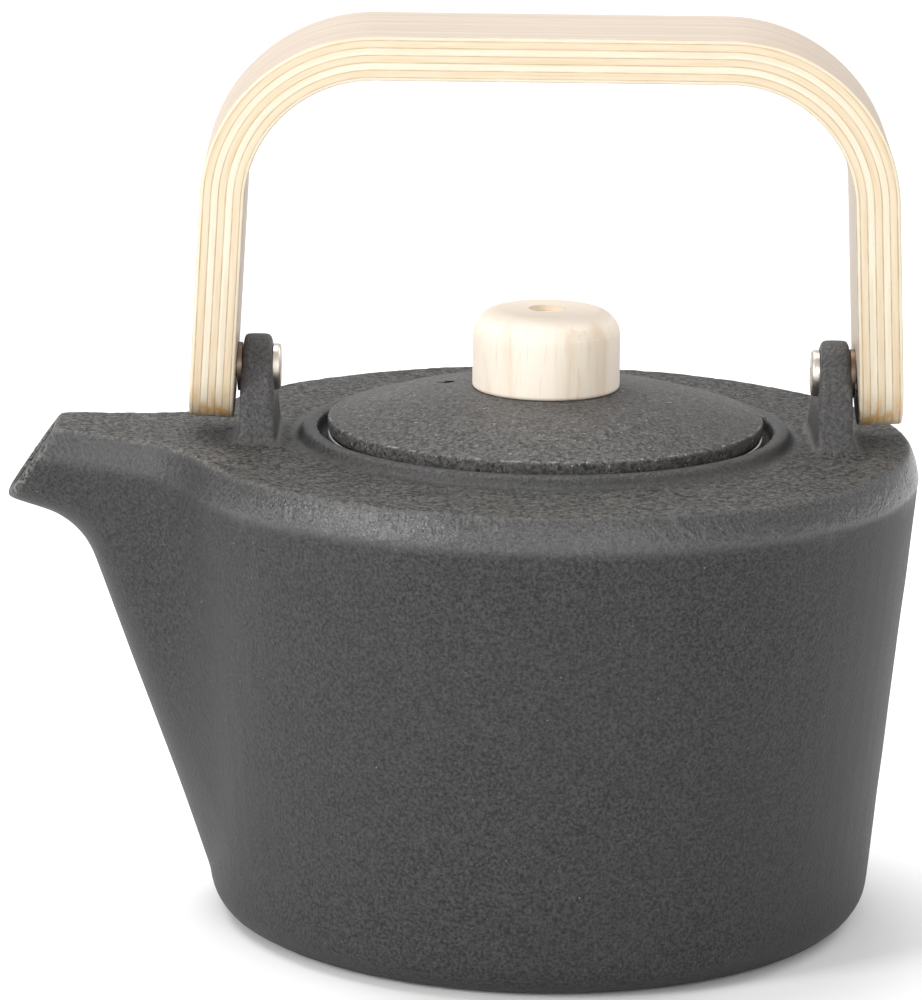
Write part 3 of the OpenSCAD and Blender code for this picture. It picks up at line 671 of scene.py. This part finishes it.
def add_handle():
    thickness = CORE_PLIES * CORE_PLY + 2 * FACE_PLY
    edge, joint = 0.45 * MM, 0.03 * MM
    cutter = hole_cutter()
    material = ply_material("veneer_inside", 0.0, FACE_PLY, CREAM, CREAM_SHADE, veneer=True)
    add_layer("veneer_inner_strip", "face_veneer_inner", 0.0, FACE_PLY, edge, joint,
              material, cutter)
    for number in range(1, CORE_PLIES + 1):
        start = FACE_PLY + (number - 1) * CORE_PLY
        dark = number % 2 == 1
        material = ply_material(f"core_{number}", start, start + CORE_PLY,
                                TAN if dark else CREAM, TAN_SHADE if dark else CREAM_SHADE)
        add_layer(f"core_strip_{number}", f"core_ply_{number}", start, start + CORE_PLY, joint, joint,
                  material, cutter if number < CORE_PLIES else None)
    outer = thickness - FACE_PLY
    material = ply_material("veneer_outside", outer, thickness, CREAM, CREAM_SHADE, veneer=True)
    add_layer("veneer_outer_strip", "face_veneer_outer", outer, thickness, joint, edge,
              material)
    bpy.data.objects.remove(cutter)


add_handle()


# ---- CAD nodes that keep their shape ----
KNOB_TOP, KNOB_SIDE, KNOB_STREAK = (0.63, 0.56, 0.485), (0.835, 0.75, 0.645), (0.66, 0.52, 0.37)
PLUG_WOOD, PLUG_STREAK = (0.80, 0.65, 0.42), (0.62, 0.44, 0.22)
BRONZE, BRONZE_DULL = (0.30, 0.22, 0.16), (0.16, 0.12, 0.10)
SATIN, SATIN_DULL = (0.56, 0.55, 0.54), (0.42, 0.40, 0.37)
SHEET, SHEET_DULL = (0.66, 0.66, 0.66), (0.55, 0.55, 0.55)
BRASS, BRASS_DULL = (0.72, 0.52, 0.22), (0.55, 0.38, 0.15)
WARM, WARM_DULL = (0.78, 0.72, 0.64), (0.58, 0.50, 0.42)


def dress(name, material):
    piece = nodes[name]
    if not piece.material_slots:
        piece.data.materials.append(material)
    for slot in piece.material_slots:
        slot.link = "OBJECT"
        slot.material = material


def add_finishes():
    dress("lid_knob", knob_material("knob_wood", KNOB_TOP, KNOB_SIDE, KNOB_STREAK, knob_top))
    dress("knob_plug", knob_material("plug_wood", PLUG_WOOD, PLUG_WOOD, PLUG_STREAK, plug_top))
    bronze = metal_material("dull_spacer", BRONZE, BRONZE_DULL, roughness=0.42, scale=EVEN)
    steel = metal_material("satin_steel", SATIN, SATIN_DULL, roughness=0.3, scale=EVEN)
    drawn = metal_material("strainer_steel", SHEET, SHEET_DULL, roughness=0.24, scale=TURNED)
    brass = metal_material("insert_brass", BRASS, BRASS_DULL, roughness=0.35, scale=COARSE)
    warm = metal_material("screw_steel", WARM, WARM_DULL, roughness=0.40, scale=EVEN)
    for name in ("pivot_screw_left", "pivot_screw_right"):
        dress(name, warm)
    for name in ("knob_screw", "knob_washer", "knob_nut"):
        dress(name, steel)
    for name in ("pivot_spacer_left", "pivot_spacer_right"):
        dress(name, bronze)
    for name in ("strainer_rim", "strainer_wall", "strainer_floor", "strainer_band"):
        dress(name, drawn)
    for name in ("handle_insert_left", "handle_insert_right"):
        dress(name, brass)


add_finishes()


# ---- Studio ----
WHITE = (1.0, 1.0, 1.0, 1.0)
WORLD_STRENGTH = 0.55
FLOOR_REACH = 3.0
PAPER, PAPER_PALE = (0.95, 0.95, 0.95), (0.97, 0.97, 0.97)


def area_light(name, place, aim, size, power):
    data = bpy.data.lights.new(name, "AREA")
    data.shape = "RECTANGLE"
    data.size, data.size_y = size
    data.energy = power
    made = bpy.data.objects.new(name, data)
    bpy.context.scene.collection.objects.link(made)
    made.location = place
    made.rotation_euler = (Vector(aim) - Vector(place)).to_track_quat("-Z", "Y").to_euler()


def add_sun(name, power, spread, lean_x, lean_y):
    data = bpy.data.lights.new(name, "SUN")
    data.energy = power
    data.angle = math.radians(spread)
    made = bpy.data.objects.new(name, data)
    made.rotation_euler = (math.radians(lean_x), math.radians(lean_y), 0.0)
    bpy.context.scene.collection.objects.link(made)


def add_floor():
    s = Shader("floor_paper")
    speck = s.noise(s.place(), 12.0, 2.0)
    paper = s.finish(Base_Color=s.mix(speck, PAPER, PAPER_PALE), Roughness=0.9)
    mesh = bmesh.new()
    bmesh.ops.create_grid(mesh, x_segments=8, y_segments=8, size=FLOOR_REACH)
    data = bpy.data.meshes.new("floor")
    mesh.to_mesh(data)
    mesh.free()
    data.materials.append(paper)
    floor = add_object("floor", data)


def make_studio():
    world = bpy.data.worlds.new("studio")
    bpy.context.scene.world = world
    world.use_nodes = True
    background = world.node_tree.nodes["Background"]
    background.inputs[0].default_value = WHITE
    background.inputs[1].default_value = WORLD_STRENGTH
    centre = (0.0, 0.0, 0.08)
    area_light("key", place=(-0.95, -0.65, 0.50), aim=centre, size=(0.3, 0.5), power=8.5)
    area_light("front", place=(0.45, -1.9, 0.8), aim=centre, size=(1.2, 1.0), power=15.0)
    area_light("right", place=(0.75, 0.35, 0.85), aim=(0.05, 0.0, 0.10), size=(0.5, 0.5), power=2.6)
    add_sun("overhead", power=2.3, spread=45.0, lean_x=-16.0, lean_y=-16.0)
    add_floor()
    bpy.context.scene.view_settings.view_transform = "Standard"


make_studio()
